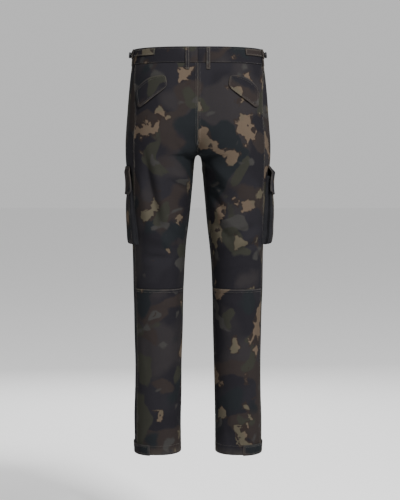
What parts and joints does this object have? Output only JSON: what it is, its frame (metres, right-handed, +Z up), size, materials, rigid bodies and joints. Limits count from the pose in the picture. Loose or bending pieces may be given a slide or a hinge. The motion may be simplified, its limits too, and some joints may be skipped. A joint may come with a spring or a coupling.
{
  "type": "cargo trousers",
  "caption": "Hollow cargo trousers in their worn shape, open at waist and hems, with thigh bellows pockets, back pocket flaps, side tabs, belt loops and hem tabs.",
  "frame": {"origin": "middle of the waist opening, half way up the back of the waistband", "axes": "+Z up, +Y towards the wearer's back, +X towards the wearer's left"},
  "size_m": [0.3867, 0.2587, 1.0347],
  "materials": {
    "cloth": "matt printed twill, a camouflage of charcoal, black, brown, olive and a little tan",
    "button": "black moulded plastic"
  },
  "bodies": {
    "root": {"seat_panel_left": "cloth", "seat_panel_right": "cloth", "calf_panel_left": "cloth", "calf_panel_right": "cloth", "front_thigh_left": "cloth", "front_thigh_right": "cloth", "front_shin_left": "cloth", "front_shin_right": "cloth", "waistband_left": "cloth", "waistband_right": "cloth", "back_flap_left": "cloth", "back_flap_right": "cloth", "cargo_bag_left": "cloth", "cargo_bag_right": "cloth", "cargo_flap_left": "cloth", "cargo_flap_right": "cloth", "belt_loop_back_left": "cloth", "belt_loop_back_right": "cloth", "belt_loop_side_left": "cloth", "belt_loop_side_right": "cloth", "belt_loop_front_left": "cloth", "belt_loop_front_right": "cloth", "waist_tab_left": "cloth", "waist_tab_right": "cloth", "hem_tab_left": "cloth", "hem_tab_right": "cloth", "fly_underlap": "cloth", "tab_button_left": "button", "tab_button_right": "button", "waist_button": "button"}
  },
  "joints": []
}
